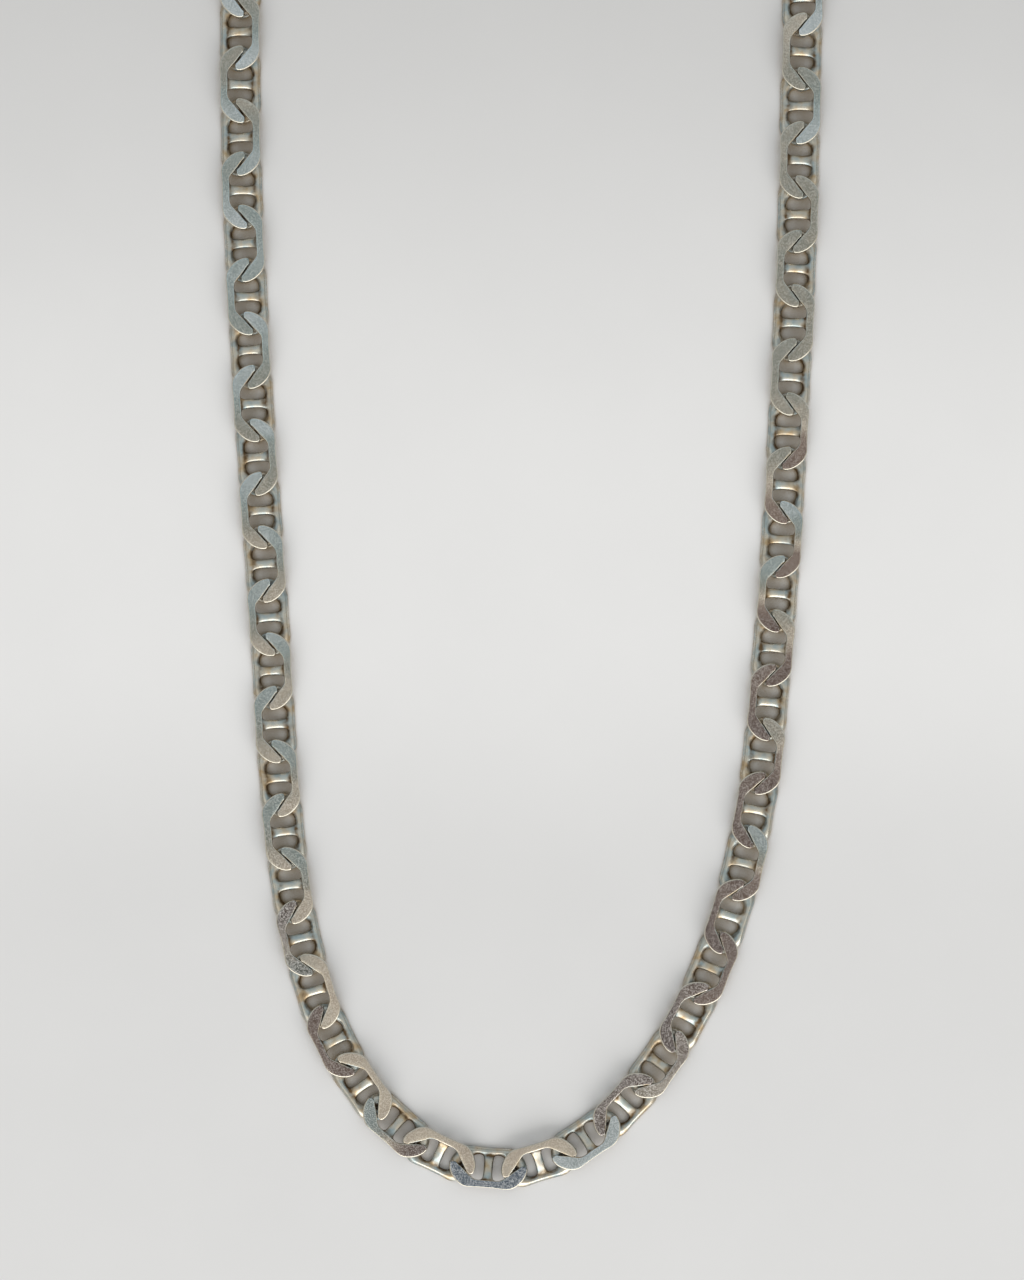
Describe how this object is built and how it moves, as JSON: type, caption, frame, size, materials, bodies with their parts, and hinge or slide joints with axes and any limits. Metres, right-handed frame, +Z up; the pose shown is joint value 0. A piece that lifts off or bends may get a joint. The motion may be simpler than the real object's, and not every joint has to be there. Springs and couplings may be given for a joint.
{
  "type": "mariner link neck chain",
  "caption": "Closed neck chain of flat mariner links, each an oval ring ground flat with a crossbar, lying in a loop and joined by a plain clasp.",
  "frame": {"origin": "middle of the loop's bounding box, on the surface that the chain lies on", "axes": "+X across the loop, +Y from the front of the loop to its clasp, +Z up from the surface"},
  "size_m": [0.0905, 0.2398, 0.0023],
  "materials": {
    "silver": "sterling silver, ground flats with fine scratches, polished edges and a warm tarnish inside the links"
  },
  "bodies": {
    "root": {"link_chain": "silver", "clasp": "silver"}
  },
  "joints": []
}
